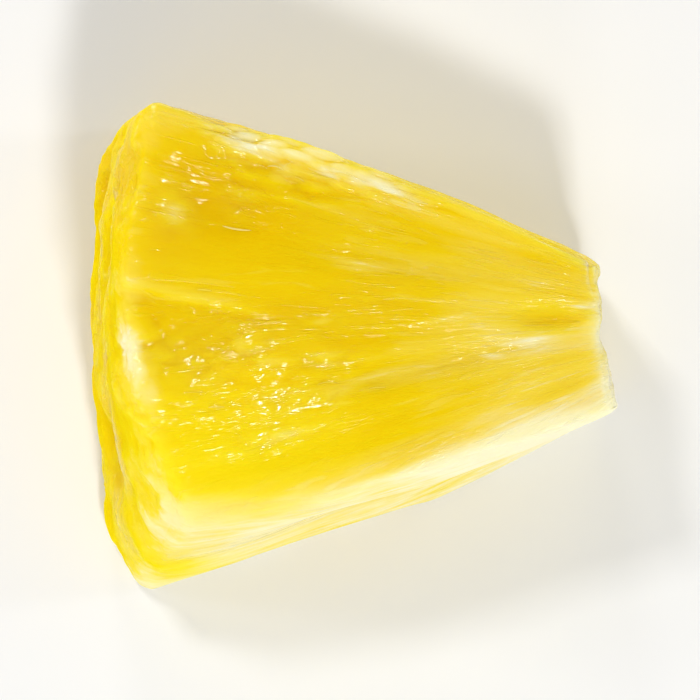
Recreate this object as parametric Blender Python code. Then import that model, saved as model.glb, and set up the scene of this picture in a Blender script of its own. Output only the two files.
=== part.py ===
"""One chunk of fresh pineapple: about an eighth of a peeled and cored slice, as the knife leaves it.

Metres, +Z up. The chunk rests on its lower cut across the fruit and shows the upper one, with its
fibres running out from the core side at +X to the peeled side at -X. The shape is worked out in
millimetres from the fruit's own axis, which stands upright beside the chunk, and is then moved so
that the middle of the base is the origin.
"""

import itertools
import math

import bmesh
import bpy
import numpy as np

NAME = "pineapple_chunk"
MM = 0.001

# Slice and grid
THICKNESS = 23.0  # between the two cuts across the fruit, at the middle
TOP_RISE = 1.0  # how much higher the top lies at the peeled side than at the core side
MEAN_LENGTH = 37.0  # from the peeled side to the core side
MEAN_WIDTH = 29.0  # between the two knife cuts along the fruit, halfway out
CELLS = (38, 36, 18)  # faces along the fibres, across them and upwards
CROWDING = 0.5  # how much closer the grid lines lie at the edges, from 0 to 1
BLOCK_SIZES = np.array((MEAN_LENGTH, MEAN_WIDTH, THICKNESS))

# Corners of the lower and the upper cut, x and y in mm from the fruit's axis
BASE_CORNERS = {
    "core lower": (-9.0, -7.4),
    "peel lower": (-46.6, -22.2),
    "core upper": (-10.8, 4.4),
    "peel upper": (-48.2, 15.6),
}
TOP_CORNERS = {
    "core lower": (-8.8, -7.2),
    "peel lower": (-43.9, -16.2),
    "core upper": (-10.6, 4.4),
    "peel upper": (-45.4, 16.4),
}

# How far each upright side swells at its middle, in mm, and hollow where negative
PEEL_SWELL = 3.0
CORE_SWELL = -0.7
UPPER_SWELL = 1.0
LOWER_SWELL = 1.3

# Edges that the knife left: a rounding radius and the depth of the chips along them
EDGE_RADIUS = 1.1
CHIP_DEPTH = 0.85
CHIP_LENGTH = 3.8
CHIP_REACH = 1.6

# Relief of the flesh: depth in mm, then the length, width and height of one wave
LUMPS = (0.60, (12.0, 9.0, 9.0))
BUNDLES = (0.42, (20.0, 3.8, 4.6))
FIBRES = (0.20, (9.0, 2.0, 2.4))
FIBRE_CLIMB = 0.12  # rise of a fibre for each mm away from the axis
MEAN_RADIUS = 32.0  # radius at which the width of a wave is measured
LEAST_RELIEF = 0.3  # share of the fibres' relief that is left at the core

# Step where one bundle of fibres tore away from the next, across the upper cut
LEDGE_ANGLE = 1.2  # degrees above the -X direction
LEDGE_DROP = 1.0
LEDGE_RUN = (30.0, 41.0)  # from the axis, between where it has died away and where it is full
LEDGE_SOFT = 0.6
LEDGE_BACK = 6.0  # how far behind the step the raised ground reaches

# Dents, and swellings where the depth is negative. Distance from the axis in mm, angle in degrees
# above the -X direction, height in mm, then length, width and height of the spot, and its depth
DENTS = {
    "upper hollow": (41.0, 11.5, 23.0, (5.4, 3.6, 4.0), 1.20),
    "glossy oval": (37.5, -15.5, 23.0, (6.0, 3.2, 4.0), 0.95),
    "notch by the core": (14.6, -0.5, 23.0, (2.8, 1.8, 3.0), 1.10),
    "wet pocket": (41.5, -4.5, 23.0, (3.8, 2.0, 3.0), 0.80),
    "long furrow": (27.0, 8.5, 23.0, (9.0, 1.8, 3.0), 0.65),
    "short furrow": (24.0, -9.0, 23.0, (7.0, 1.5, 3.0), 0.45),
    "torn lip": (46.3, -4.5, 23.0, (1.2, 3.2, 2.0), -0.60),
    "upper rim": (36.0, 20.5, 23.0, (8.0, 2.0, 2.5), -0.50),
    "eye low": (50.5, -12.0, 9.0, (3.2, 2.3, 2.2), 2.30),
    "eye high": (48.6, 4.0, 14.5, (3.2, 2.4, 2.3), 2.10),
    "eye corner": (50.4, 12.5, 6.0, (3.2, 2.0, 1.9), 1.80),
    "torn upper side": (29.0, 22.0, 11.0, (7.0, 3.5, 4.5), 0.95),
    "torn lower side": (33.0, -27.0, 12.0, (8.0, 3.5, 4.0), 1.05),
    "scooped core": (10.0, -8.0, 14.0, (2.5, 6.0, 6.0), 0.50),
}
DENT_RIM = 0.30  # how strongly the flesh stands up round a dent

BASE_FADE = 2.5  # height over which the relief dies away above the flat base
FLAT = 1e-6  # height below which a point lies in the base
LATTICE = 32  # random values along each side of the noise's cube before it repeats
RELIEF_SEED = 41
CHIP_SEED = 51

# Finish
FLESH_COLOUR = (0.86, 0.60, 0.03, 1.0)
FLESH_ROUGHNESS = 0.32


def clear_scene():
    """Start from an empty scene."""
    for thing in list(bpy.data.objects):
        bpy.data.objects.remove(thing, do_unlink=True)


def smooth_step(value):
    """0 below 0, 1 above 1, and 3 t^2 - 2 t^3 between."""
    t = np.clip(value, 0.0, 1.0)
    return t * t * (3.0 - 2.0 * t)


def noise(points, waves, seed):
    """Soft noise from -1 to 1: random values at the corners of a lattice with one wave a cell,
    blended inside each cell by the smooth step along every axis."""
    values = np.random.default_rng(seed).uniform(-1.0, 1.0, (LATTICE,) * 3)
    scaled = points / np.array(waves)
    corner = np.floor(scaled).astype(int)
    blend = smooth_step(scaled - corner)
    total = np.zeros(len(points))
    for step in itertools.product((0, 1), repeat=3):
        weight = np.where(np.array(step) == 1, blend, 1.0 - blend).prod(axis=1)
        cell = (corner + step) % LATTICE
        total += weight * values[cell[:, 0], cell[:, 1], cell[:, 2]]
    return total


def fibre_space(points):
    """Coordinates that follow the fibres: distance from the axis, angle above -X times the mean
    radius, and height less the fibres' climb. A fibre keeps the last two."""
    distance = np.hypot(points[:, 0], points[:, 1])
    angle = np.arctan2(points[:, 1], -points[:, 0])
    height = points[:, 2] - FIBRE_CLIMB * (distance - MEAN_RADIUS)
    return np.column_stack((distance, angle * MEAN_RADIUS, height))


def rounded_block(unit):
    """Unit block with rounded edges: at full size, each point is drawn in to the block that is
    smaller by the radius on every side, then pushed out by the radius along the same line."""
    point = unit * BLOCK_SIZES
    inner = np.clip(point, EDGE_RADIUS, BLOCK_SIZES - EDGE_RADIUS)
    out = point - inner
    out *= EDGE_RADIUS / np.linalg.norm(out, axis=1, keepdims=True)
    return (inner + out) / BLOCK_SIZES


def outline_corner(name, up):
    """Corner of the outline at each height, straight from the base's corner to the top's."""
    base = np.array(BASE_CORNERS[name])
    top = np.array(TOP_CORNERS[name])
    return base + (top - base) * up[:, None]


def loft(unit):
    """Chunk from a unit block, in mm from the fruit's axis. The first coordinate runs from the
    peeled side to the core side, the second from the lower knife cut to the upper one, the third
    up. The four corners are blended in both directions, and each upright side swells by a
    parabola."""
    along, across, up = unit.T
    lower = outline_corner("peel lower", up) * (1 - along)[:, None]
    lower += outline_corner("core lower", up) * along[:, None]
    upper = outline_corner("peel upper", up) * (1 - along)[:, None]
    upper += outline_corner("core upper", up) * along[:, None]
    place = lower * (1 - across)[:, None] + upper * across[:, None]
    bow_along = 4 * along * (1 - along)
    bow_across = 4 * across * (1 - across)
    place[:, 0] += (CORE_SWELL * along - PEEL_SWELL * (1 - along)) * bow_across
    place[:, 1] += (UPPER_SWELL * across - LOWER_SWELL * (1 - across)) * bow_along
    height = (THICKNESS + TOP_RISE * (0.5 - along)) * up
    return np.column_stack((place, height))


def edge_nearness(unit):
    """1 on an edge of the block, falling to 0 away from it. On a face one distance to the sides is
    nothing, so the second smallest is the distance to the nearest edge."""
    to_sides = np.minimum(unit, 1.0 - unit) * BLOCK_SIZES
    return np.exp(-((np.sort(to_sides, axis=1)[:, 1] / CHIP_REACH) ** 2))


def ledge(fibre, facing_up):
    """Step on the upper cut: full height on its upper side, dying away behind it, nothing below."""
    behind = fibre[:, 1] - math.radians(LEDGE_ANGLE) * MEAN_RADIUS
    near, far = LEDGE_RUN
    run = smooth_step((fibre[:, 0] - near) / (far - near))
    rise = smooth_step(0.5 + 0.5 * behind / LEDGE_SOFT)
    tail = np.exp(-((np.maximum(behind, 0.0) / LEDGE_BACK) ** 2))
    return LEDGE_DROP * rise * tail * run * facing_up


def dents(fibre):
    """Sum of the named spots. With d the distance from a spot's centre in units of its spread, each
    is its depth times (1 - rim d^2) times the bell exp(-d^2)."""
    total = np.zeros(len(fibre))
    for distance, angle, height, spread, depth in DENTS.values():
        rise = height - FIBRE_CLIMB * (distance - MEAN_RADIUS)
        centre = np.array((distance, math.radians(angle) * MEAN_RADIUS, rise))
        far = (((fibre - centre) / np.array(spread)) ** 2).sum(axis=1)
        total -= depth * (1.0 - DENT_RIM * far) * np.exp(-far)
    return total


def fibre_relief(fibre):
    """Ridges along the fibres, from lumps down to single strands. They crowd together towards the
    core, and so grow shallower there."""
    weight = np.clip(fibre[:, 0] / MEAN_RADIUS, LEAST_RELIEF, 1.0)
    height = np.zeros(len(fibre))
    for number, (depth, waves) in enumerate((LUMPS, BUNDLES, FIBRES)):
        height += depth * noise(fibre, waves, RELIEF_SEED + number)
    return height * weight


def relief(points, normals, unit):
    """Height of the flesh above the plain cuts, in mm, along the normal."""
    fibre = fibre_space(points)
    facing_up = np.clip(normals[:, 2], 0.0, 1.0) ** 4
    chips = 0.5 + 0.5 * noise(points, (CHIP_LENGTH,) * 3, CHIP_SEED)
    height = fibre_relief(fibre) + dents(fibre) + ledge(fibre, facing_up)
    return height - CHIP_DEPTH * chips * edge_nearness(unit)


def gridded_cube():
    """Unit cube from 0 to 1 whose faces are divided into the grid, closer at the edges."""
    block = bmesh.new()
    bmesh.ops.create_cube(block, size=1.0)
    for axis, cells in enumerate(CELLS):
        edges = [e for e in block.edges if abs(e.verts[0].co[axis] - e.verts[1].co[axis]) > 0.5]
        bmesh.ops.subdivide_edges(block, edges=edges, cuts=cells - 1, use_grid_fill=True)
    for vertex in block.verts:
        for axis in range(3):
            t = vertex.co[axis] + 0.5
            vertex.co[axis] = t - CROWDING * math.sin(2 * math.pi * t) / (2 * math.pi)
    return block


def set_places(block, places):
    """Move every vertex of the block to its row of places."""
    for vertex, place in zip(block.verts, places):
        vertex.co = place
    block.normal_update()


def shape_flesh(block):
    """Turn the gridded cube into the chunk, in mm, with a flat base at height 0."""
    unit = rounded_block(np.array([v.co[:] for v in block.verts]))
    places = loft(unit)
    set_places(block, places)
    normals = np.array([v.normal[:] for v in block.verts])
    shift = normals * relief(places, normals, unit)[:, None]
    shift[:, 2] *= smooth_step(places[:, 2] / BASE_FADE)
    places += shift
    places[:, 2] = np.maximum(places[:, 2], 0.0)
    low, high = places.min(axis=0), places.max(axis=0)
    places -= ((low[0] + high[0]) / 2, (low[1] + high[1]) / 2, 0.0)
    set_places(block, places)


def join_base(block):
    """Make the flat base one face."""
    flat = [f for f in block.faces if max(v.co.z for v in f.verts) < FLAT]
    bmesh.ops.dissolve_faces(block, faces=flat, use_verts=True)


def flesh_material():
    """Wet golden flesh."""
    material = bpy.data.materials.new("pineapple flesh")
    material.use_nodes = True
    shader = material.node_tree.nodes["Principled BSDF"]
    shader.inputs["Base Color"].default_value = FLESH_COLOUR
    shader.inputs["Roughness"].default_value = FLESH_ROUGHNESS
    shader.inputs["Metallic"].default_value = 0.0
    material.diffuse_color = FLESH_COLOUR
    return material


def make_chunk(collection):
    """The chunk as one closed solid, in metres."""
    block = gridded_cube()
    shape_flesh(block)
    join_base(block)
    bmesh.ops.scale(block, vec=(MM, MM, MM), verts=block.verts)
    mesh = bpy.data.meshes.new(NAME)
    block.to_mesh(mesh)
    block.free()
    mesh.materials.append(flesh_material())
    mesh.shade_smooth()
    chunk = bpy.data.objects.new(NAME, mesh)
    collection.objects.link(chunk)
    return chunk


def main():
    clear_scene()
    collection = bpy.data.collections.new("pineapple chunk")
    bpy.context.scene.collection.children.link(collection)
    make_chunk(collection)


main()
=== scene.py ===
# %% [markdown]
# # A chunk of fresh pineapple
#
# A ready-cut chunk is about an eighth of a peeled and cored slice. Its broad top is the cut across
# the fruit: wet, golden and translucent, with fibres that fan out from the narrow core side to the
# wide peeled side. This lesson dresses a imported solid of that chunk: a fine surface with fibres,
# torn spots and eye pits, a few loose strands, and a film of juice that glints.

# %% Load the frame
import itertools
import math

import bpy
import numpy as np
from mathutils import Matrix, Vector


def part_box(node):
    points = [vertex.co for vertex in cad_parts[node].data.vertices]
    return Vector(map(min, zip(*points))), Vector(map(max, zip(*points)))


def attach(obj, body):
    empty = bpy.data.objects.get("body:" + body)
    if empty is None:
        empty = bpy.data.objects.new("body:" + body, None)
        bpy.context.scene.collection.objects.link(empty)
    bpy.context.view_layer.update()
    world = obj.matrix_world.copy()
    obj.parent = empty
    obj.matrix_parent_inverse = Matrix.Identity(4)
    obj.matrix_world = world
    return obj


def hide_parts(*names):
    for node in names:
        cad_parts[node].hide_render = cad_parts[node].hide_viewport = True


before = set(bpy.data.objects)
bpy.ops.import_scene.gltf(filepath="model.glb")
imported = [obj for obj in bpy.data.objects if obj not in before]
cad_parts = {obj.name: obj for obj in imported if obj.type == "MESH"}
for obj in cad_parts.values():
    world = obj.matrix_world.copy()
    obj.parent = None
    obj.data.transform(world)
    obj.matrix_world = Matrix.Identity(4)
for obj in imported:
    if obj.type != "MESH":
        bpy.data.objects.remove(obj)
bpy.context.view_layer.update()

NODE = "pineapple_chunk"
MM = 0.001
node_low, node_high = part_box(NODE)
print("solid, in mm:", [round((b - a) / MM, 2) for a, b in zip(node_low, node_high)])

# %% [markdown]
# ## The sizes of the cut
#
# The chunk is measured from the fruit's own axis, an upright line just beyond the core side, because
# everything in the flesh is arranged round that line. The knife leaves four upright sides. Each is
# straight between two corners that lie further out at the base than at the top, and swells a little.

# %% Name the sizes
THICKNESS = 23.0
TOP_RISE = 1.0
MEAN_LENGTH = 37.0
MEAN_WIDTH = 29.0
BLOCK_SIZES = np.array((MEAN_LENGTH, MEAN_WIDTH, THICKNESS))

BASE_CORNERS = {
    "core lower": (-9.0, -7.4),
    "peel lower": (-46.6, -22.2),
    "core upper": (-10.8, 4.4),
    "peel upper": (-48.2, 15.6),
}
TOP_CORNERS = {
    "core lower": (-8.8, -7.2),
    "peel lower": (-43.9, -16.2),
    "core upper": (-10.6, 4.4),
    "peel upper": (-45.4, 16.4),
}
PEEL_SWELL = 3.0
CORE_SWELL = -0.7
UPPER_SWELL = 1.0
LOWER_SWELL = 1.3
EDGE_RADIUS = 1.1
SOFT_CORNER_RADIUS = 3.2
SOFT_CORNER_REACH = (0.28, 0.60, 0.50)

# %% [markdown]
# ## A grid over the whole block
#
# A closed surface needs a grid that covers it without poles. A box has none: each of its six sides
# is a grid of two parameters, and where two sides meet they share their edge points. The grid lines
# crowd towards the edges, where the shape bends most.

# %% Grid the block
CELLS = (150, 136, 96)
CROWDING = 0.5
WELD_DIGITS = 9


def grid_lines(count):
    """Lines from 0 to 1, drawn towards both ends: t - crowding sin(2 pi t) / (2 pi)."""
    t = np.linspace(0.0, 1.0, count + 1)
    return t - CROWDING * np.sin(2 * math.pi * t) / (2 * math.pi)


def grid_quads(rows, columns, start=0):
    """Four-sided faces between neighbouring points of a grid, turning left seen from the front."""
    index = start + np.arange(rows * columns).reshape(rows, columns)
    corners = (index[:-1, :-1], index[1:, :-1], index[1:, 1:], index[:-1, 1:])
    return np.stack(corners, axis=-1).reshape(-1, 4)


def block_surface():
    """Six sides of a unit block. Each holds one coordinate at 0 or 1 and runs the other two over
    the grid lines. Points that two or three sides share are welded, and each side's grid of point
    numbers is kept under its axis and end."""
    lines = [grid_lines(count) for count in CELLS]
    points, quads, grids, start = [], [], {}, 0
    for axis, end in itertools.product(range(3), (0, 1)):
        across, up = (axis + 1) % 3, (axis + 2) % 3
        u, v = np.meshgrid(lines[across], lines[up], indexing="ij")
        side = np.full(u.shape + (3,), float(end))
        side[..., across] = u
        side[..., up] = v
        faces = grid_quads(*u.shape, start)
        points.append(side.reshape(-1, 3))
        quads.append(faces if end else faces[:, ::-1])
        grids[axis, end] = start + np.arange(u.size).reshape(u.shape)
        start += u.size
    rounded = np.round(np.concatenate(points), WELD_DIGITS)
    unique, owner = np.unique(rounded, axis=0, return_inverse=True)
    owner = owner.reshape(-1)
    return unique, owner[np.concatenate(quads)], {side: owner[grid] for side, grid in grids.items()}


block_points, block_quads, side_grids = block_surface()
print("block:", len(block_points), "points,", 2 * len(block_quads), "triangles")

# %% [markdown]
# ## From the block to the plain cuts
#
# The block is first given rounded edges, then carried into the outline between the four corners at
# every height. This is the chunk as a perfect knife would leave it.

# %% Loft the chunk


def smooth_step(value):
    """0 below 0, 1 above 1, and 3 t^2 - 2 t^3 between."""
    t = np.clip(value, 0.0, 1.0)
    return t * t * (3.0 - 2.0 * t)


def rounded_block(unit):
    """Unit block with rounded edges: at full size, each point is drawn in to the block that is
    smaller by the radius on every side, then pushed out by the radius along the same line. The
    radius grows towards the soft corner, the upper one of the peeled side and the lower cut."""
    from_corner = (unit * (1.0, 1.0, -1.0) + (0.0, 0.0, 1.0)) / SOFT_CORNER_REACH
    softness = smooth_step(1.0 - from_corner).prod(axis=1)[:, None]
    radius = EDGE_RADIUS + (SOFT_CORNER_RADIUS - EDGE_RADIUS) * softness
    point = unit * BLOCK_SIZES
    inner = np.clip(point, radius, BLOCK_SIZES - radius)
    out = point - inner
    out *= radius / np.linalg.norm(out, axis=1, keepdims=True)
    return (inner + out) / BLOCK_SIZES


def outline_corner(name, up):
    """Corner of the outline at each height, straight from the base's corner to the top's."""
    base = np.array(BASE_CORNERS[name])
    top = np.array(TOP_CORNERS[name])
    return base + (top - base) * up[:, None]


def loft(unit):
    """Chunk from a unit block, in mm from the fruit's axis. The first coordinate runs from the
    peeled side to the core side, the second from the lower knife cut to the upper one, the third
    up. The four corners are blended in both directions, and each upright side swells by a
    parabola."""
    along, across, up = unit.T
    lower = outline_corner("peel lower", up) * (1 - along)[:, None]
    lower += outline_corner("core lower", up) * along[:, None]
    upper = outline_corner("peel upper", up) * (1 - along)[:, None]
    upper += outline_corner("core upper", up) * along[:, None]
    place = lower * (1 - across)[:, None] + upper * across[:, None]
    bow_along = 4 * along * (1 - along)
    bow_across = 4 * across * (1 - across)
    place[:, 0] += (CORE_SWELL * along - PEEL_SWELL * (1 - along)) * bow_across
    place[:, 1] += (UPPER_SWELL * across - LOWER_SWELL * (1 - across)) * bow_along
    height = (THICKNESS + TOP_RISE * (0.5 - along)) * up
    return np.column_stack((place, height))


def normals_of(places, quads):
    """Unit normal at each point and a number that grows with the area round it: the direction and
    the length of the sum of the cross products of the diagonals of its faces."""
    a, b, c, d = (places[quads[:, k]] for k in range(4))
    cross = np.cross(c - a, d - b)
    total = np.zeros_like(places)
    for k in range(4):
        np.add.at(total, quads[:, k], cross)
    length = np.linalg.norm(total, axis=1)
    return total / length[:, None], length


plain_unit = rounded_block(block_points)
plain_places = loft(plain_unit)
plain_normals, _ = normals_of(plain_places, block_quads)
print("plain chunk, in mm:", np.round(np.ptp(plain_places, axis=0), 2))

# %% [markdown]
# ## Noise that follows the fibres
#
# In pineapple every fibre runs outwards from the core and climbs a little. So the relief is worked
# out in coordinates that a fibre doesn't change: its angle round the axis and its height less its
# climb. Noise that is long in the third coordinate, the distance from the axis, then makes ridges on
# the cuts that the fibres run along and grains on the cuts that they end on, as in the real flesh.

# %% Work out the noise
FIBRE_CLIMB = 0.12
MEAN_RADIUS = 32.0
LATTICE = 32


def noise(points, waves, seed):
    """Soft noise from -1 to 1: random values at the corners of a lattice with one wave a cell,
    blended inside each cell by the smooth step along every axis."""
    values = np.random.default_rng(seed).uniform(-1.0, 1.0, (LATTICE,) * 3)
    scaled = points / np.array(waves)
    corner = np.floor(scaled).astype(int)
    blend = smooth_step(scaled - corner)
    total = np.zeros(len(points))
    for step in itertools.product((0, 1), repeat=3):
        weight = np.where(np.array(step) == 1, blend, 1.0 - blend).prod(axis=1)
        cell = (corner + step) % LATTICE
        total += weight * values[cell[:, 0], cell[:, 1], cell[:, 2]]
    return total


def fibre_space(points):
    """Coordinates that follow the fibres: distance from the axis, angle above -X times the mean
    radius, and height less the fibres' climb. A fibre keeps the last two."""
    distance = np.hypot(points[:, 0], points[:, 1])
    angle = np.arctan2(points[:, 1], -points[:, 0])
    height = points[:, 2] - FIBRE_CLIMB * (distance - MEAN_RADIUS)
    return np.column_stack((distance, angle * MEAN_RADIUS, height))


# %% [markdown]
# ## The relief of the flesh
#
# The knife drags on wet fibres. It leaves ridges and furrows, tears out hollows, and lets a rim stand
# here and there. A sculpted mesh would need many brush strokes. Here layers of noise give the ridges,
# and spots with names and sizes put the hollows where they show, so that each can be moved alone.

# %% Raise the ridges
# A ridge: its depth, and the length of its waves along the three fibre coordinates, all in mm.
LUMPS = (0.60, (12.0, 9.0, 9.0))
BUNDLES = (0.42, (20.0, 3.8, 4.6))
FIBRES = (0.20, (9.0, 2.0, 2.4))
LEAST_RELIEF = 0.3
RELIEF_SEED = 41


def fibre_relief(fibre):
    """Ridges along the fibres, from lumps down to bundles. They crowd together towards the core,
    and so grow shallower there."""
    weight = np.clip(fibre[:, 0] / MEAN_RADIUS, LEAST_RELIEF, 1.0)
    height = np.zeros(len(fibre))
    for number, (depth, waves) in enumerate((LUMPS, BUNDLES, FIBRES)):
        height += depth * noise(fibre, waves, RELIEF_SEED + number)
    return height * weight


print("ridges, in mm:", [depth for depth, _ in (LUMPS, BUNDLES, FIBRES)])

# %% Dig the dents
# A spot: mm from the axis, degrees above -X, height in mm, spreads in mm along the three fibre
# coordinates, and an amount, which for a dent is its depth in mm.
DENTS = {
    "upper hollow": (41.0, 11.5, 23.0, (5.4, 3.6, 4.0), 1.20),
    "glossy oval": (37.5, -15.5, 23.0, (6.0, 3.2, 4.0), 0.95),
    "notch by the core": (14.6, -0.5, 23.0, (2.8, 1.8, 3.0), 1.10),
    "wet pocket": (41.5, -4.5, 23.0, (3.8, 2.0, 3.0), 0.80),
    "long furrow": (27.0, 8.5, 23.0, (9.0, 1.8, 3.0), 0.65),
    "short furrow": (24.0, -9.0, 23.0, (7.0, 1.5, 3.0), 0.45),
    "torn lip": (46.3, -4.5, 23.0, (1.2, 3.2, 2.0), -0.60),
    "upper rim": (36.0, 20.5, 23.0, (8.0, 2.0, 2.5), -0.50),
    "eye low": (50.5, -12.0, 9.0, (3.2, 2.3, 2.2), 2.30),
    "eye high": (48.6, 4.0, 14.5, (3.2, 2.4, 2.3), 2.10),
    "eye corner": (50.4, 12.5, 6.0, (3.2, 2.0, 1.9), 1.80),
    "torn upper side": (29.0, 22.0, 11.0, (7.0, 3.5, 4.5), 0.95),
    "torn lower side": (33.0, -27.0, 12.0, (8.0, 3.5, 4.0), 1.05),
    "scooped core": (10.0, -8.0, 14.0, (2.5, 6.0, 6.0), 0.50),
}
DENT_RIM = 0.30


def bell(fibre, distance, angle, height, spread):
    """Square of the distance from a named spot, counted in units of its spread along each fibre
    coordinate, and the bell exp(-d^2) over it."""
    rise = height - FIBRE_CLIMB * (distance - MEAN_RADIUS)
    centre = np.array((distance, math.radians(angle) * MEAN_RADIUS, rise))
    far = (((fibre - centre) / np.array(spread)) ** 2).sum(axis=1)
    return far, np.exp(-far)


def sum_of_spots(fibre, spots):
    """Sum of the bells of named spots, each times its amount."""
    total = np.zeros(len(fibre))
    for distance, angle, height, spread, amount in spots.values():
        total += amount * bell(fibre, distance, angle, height, spread)[1]
    return total


def dents(fibre):
    """Sum of the named dents, each its depth times (1 - rim d^2) times the bell."""
    total = np.zeros(len(fibre))
    for distance, angle, height, spread, depth in DENTS.values():
        far, weight = bell(fibre, distance, angle, height, spread)
        total -= depth * (1.0 - DENT_RIM * far) * weight
    return total


print(len(DENTS), "dents, the deepest", max(depth for *_, depth in DENTS.values()), "mm")

# %% [markdown]
# ## The eyes of the peeled side
#
# Flowers sat in the rind, and peeling opens what they left: small pits, each with a ragged slit
# between two lips. The pits are dents. The slits could be cut with a Boolean, but their edges would
# be too clean. So a slit is a curve drawn on the side, made ragged by noise and pressed in, with two
# lips raised beside it.

# %% Open the eyes
# An eye: the tilt of its slit in radians, its bend in 1/mm, and half its length in mm.
EYE_FORMS = {
    "eye low": (0.35, 0.10, 2.0),
    "eye high": (-0.80, -0.12, 1.6),
    "eye corner": (1.00, 0.16, 1.4),
}
SLIT_WIDTH = 0.45
SLIT_DEPTH = 0.60
SLIT_REACH = 3.0
LIP_DISTANCE = 1.2
LIP_WIDTH = 0.55
LIP_HEIGHT = 0.30
EYE_RAGGEDNESS = (0.55, (4.0, 1.3, 1.6))
EYE_SEED = 61


def eye_slit(fibre, name):
    """How much of an eye's slit and of the lips beside it is at each point. The slit is the
    parabola v = bend u^2 in the peeled side's own plane, turned by a tilt and made ragged by
    noise."""
    distance, angle, height = DENTS[name][:3]
    tilt, bend, length = EYE_FORMS[name]
    amount, waves = EYE_RAGGEDNESS
    stretch = distance / MEAN_RADIUS
    level = (fibre[:, 1] - math.radians(angle) * MEAN_RADIUS) * stretch
    rise = fibre[:, 2] - height + FIBRE_CLIMB * (distance - MEAN_RADIUS)
    u = level * math.cos(tilt) + rise * math.sin(tilt)
    v = rise * math.cos(tilt) - level * math.sin(tilt) + amount * noise(fibre, waves, EYE_SEED)
    near = np.exp(-(((fibre[:, 0] - distance) / SLIT_REACH) ** 2) - (u / length) ** 4)
    away = v - bend * u ** 2
    slit = near * np.exp(-((away / SLIT_WIDTH) ** 2))
    lips = near * np.exp(-(((np.abs(away) - LIP_DISTANCE) / LIP_WIDTH) ** 2))
    return slit, lips


def eyes(fibre):
    """Height of the eyes' slits and lips."""
    total = np.zeros(len(fibre))
    for name in EYE_FORMS:
        slit, lips = eye_slit(fibre, name)
        total += LIP_HEIGHT * lips - SLIT_DEPTH * slit
    return total


print("eyes:", ", ".join(EYE_FORMS))

# %% [markdown]
# ## The ledge and the chipped edges
#
# Near the middle of the top one bundle let go of the next and left a step, highest at the peeled
# side. It is a smooth step across the fibres that dies away behind its crest. The knife also chips
# the edges. Noise lowers the flesh there by an amount that fades with the distance from the edge.

# %% Lift the ledge
LEDGE_ANGLE = 1.2
LEDGE_DROP = 1.0
LEDGE_RUN = (32.0, 43.0)
LEDGE_SOFT = 0.34
LEDGE_BACK = 6.0
LEDGE_TILT = 0.14
LEDGE_MIDDLE = 41.0


def ledge_place(fibre):
    """How far each point lies behind the ledge, in mm, and how much of the ledge is there. The
    ledge turns slowly across the fibres, and runs out towards the core."""
    behind = fibre[:, 1] - math.radians(LEDGE_ANGLE) * MEAN_RADIUS
    behind = behind - LEDGE_TILT * (fibre[:, 0] - LEDGE_MIDDLE)
    near, far = LEDGE_RUN
    return behind, smooth_step((fibre[:, 0] - near) / (far - near))


def ledge(fibre, facing_up):
    """Step on the upper cut: full height on its upper side, dying away behind it, nothing below."""
    behind, run = ledge_place(fibre)
    rise = smooth_step(0.5 + 0.5 * behind / LEDGE_SOFT)
    tail = np.exp(-((np.maximum(behind, 0.0) / LEDGE_BACK) ** 2))
    return LEDGE_DROP * rise * tail * run * facing_up


print("ledge:", LEDGE_DROP, "mm high, from", LEDGE_RUN[0], "mm off the axis outwards")

# %% Find the edges
CHIP_DEPTH = 0.85
CHIP_LENGTH = 3.8
CHIP_REACH = 1.6
CHIP_SEED = 51


def edge_nearness(unit, reach):
    """1 on an edge of the block, falling to 0 away from it. On a face one distance to the sides is
    nothing, so the second smallest is the distance to the nearest edge."""
    to_sides = np.minimum(unit, 1.0 - unit) * BLOCK_SIZES
    return np.exp(-((np.sort(to_sides, axis=1)[:, 1] / reach) ** 2))


near_an_edge = edge_nearness(plain_unit, CHIP_REACH) > 0.5
print("points near an edge:", np.count_nonzero(near_an_edge), "of", len(plain_unit))

# %% [markdown]
# ## Torn layers
#
# Where the knife dragged, the flesh has come off in thin layers along the fibres. Soft noise cut into
# even steps gives them: level on each step, then a short steep drop. Patches of noise and named spots
# say how torn the flesh is, so that some stretches stay smooth.

# %% Tear the layers
LAYER_STEP = 0.20
LAYERS_A_WAVE = 3.0
LAYER_EDGE = 0.40
LAYER_WAVES = (12.0, 3.4, 4.2)
LAYER_SEED = 75
TORN = {
    "upper rim": (37.0, 19.0, 23.0, (11.0, 3.0, 4.0), 1.0),
    "torn lip": (45.6, -5.0, 23.0, (1.6, 5.0, 3.0), 1.0),
    "glint field": (37.0, -7.0, 23.0, (9.0, 6.0, 4.0), 0.7),
    "smooth ground": (40.5, 5.0, 23.0, (5.5, 2.6, 4.0), -1.2),
    "upper band": (22.0, 14.0, 23.0, (9.0, 4.0, 4.0), -0.4),
    "glossy oval": (38.5, -16.5, 23.0, (8.0, 4.0, 4.0), -0.6),
}
TORN_EVERYWHERE = 0.35
TORN_PATCHES = (0.55, (15.0, 7.0, 7.0))
TORN_SEED = 74
SIDES_TORN = 0.50
CALM_REACH = 4.0
CALM_TORN = 0.15


def torn_weight(fibre):
    """How torn the flesh is, from 0 to 1: patches of noise and the named spots on an even ground."""
    depth, waves = TORN_PATCHES
    patches = depth * noise(fibre, waves, TORN_SEED)
    return np.clip(TORN_EVERYWHERE + patches + sum_of_spots(fibre, TORN), 0.0, 1.0)


def layers(fibre):
    """Noise in even steps: its whole part, plus a smooth step over a short stretch between."""
    level = LAYERS_A_WAVE * noise(fibre, LAYER_WAVES, LAYER_SEED)
    whole = np.floor(level)
    rise = smooth_step(0.5 + (level - whole - 0.5) / LAYER_EDGE)
    return LAYER_STEP * (whole + rise)


torn_share = torn_weight(fibre_space(plain_places)).mean()
print("torn, on the whole:", round(float(torn_share), 2))

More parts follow.
